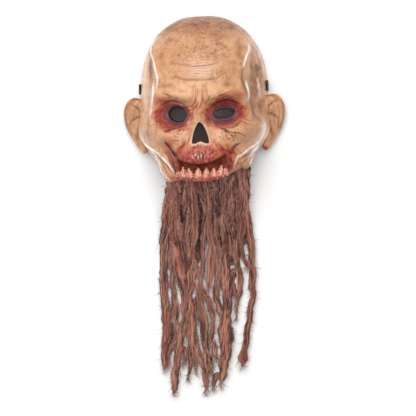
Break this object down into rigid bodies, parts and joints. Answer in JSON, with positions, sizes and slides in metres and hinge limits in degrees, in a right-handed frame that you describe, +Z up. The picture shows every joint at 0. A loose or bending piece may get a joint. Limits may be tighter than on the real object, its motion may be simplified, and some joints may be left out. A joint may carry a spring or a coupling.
{
  "type": "zombie half mask",
  "caption": "Glossy moulded zombie half mask with ears, open eye and nose holes, jagged lower teeth, a torn gauze beard and an elastic head strap, lying face up.",
  "frame": {"origin": "middle of the footprint of the whole mask with its beard, on the table that it lies on", "axes": "+Z up out of the face, +Y towards the crown of the head, +X towards the side of the mask that is on the right seen from the front"},
  "size_m": [0.2338, 0.5437, 0.1086],
  "materials": {
    "painted_skin": "glossy painted vinyl, skin-coloured, with airbrushed red and brown",
    "black_net": "fine matt black net",
    "black_elastic": "matt woven elastic",
    "brown_gauze": "crumpled loose-woven gauze, matt"
  },
  "bodies": {
    "root": {"mask_shell": "painted_skin", "nose_mesh": "black_net", "elastic_strap": "black_elastic", "gauze_beard": "brown_gauze"}
  },
  "joints": []
}
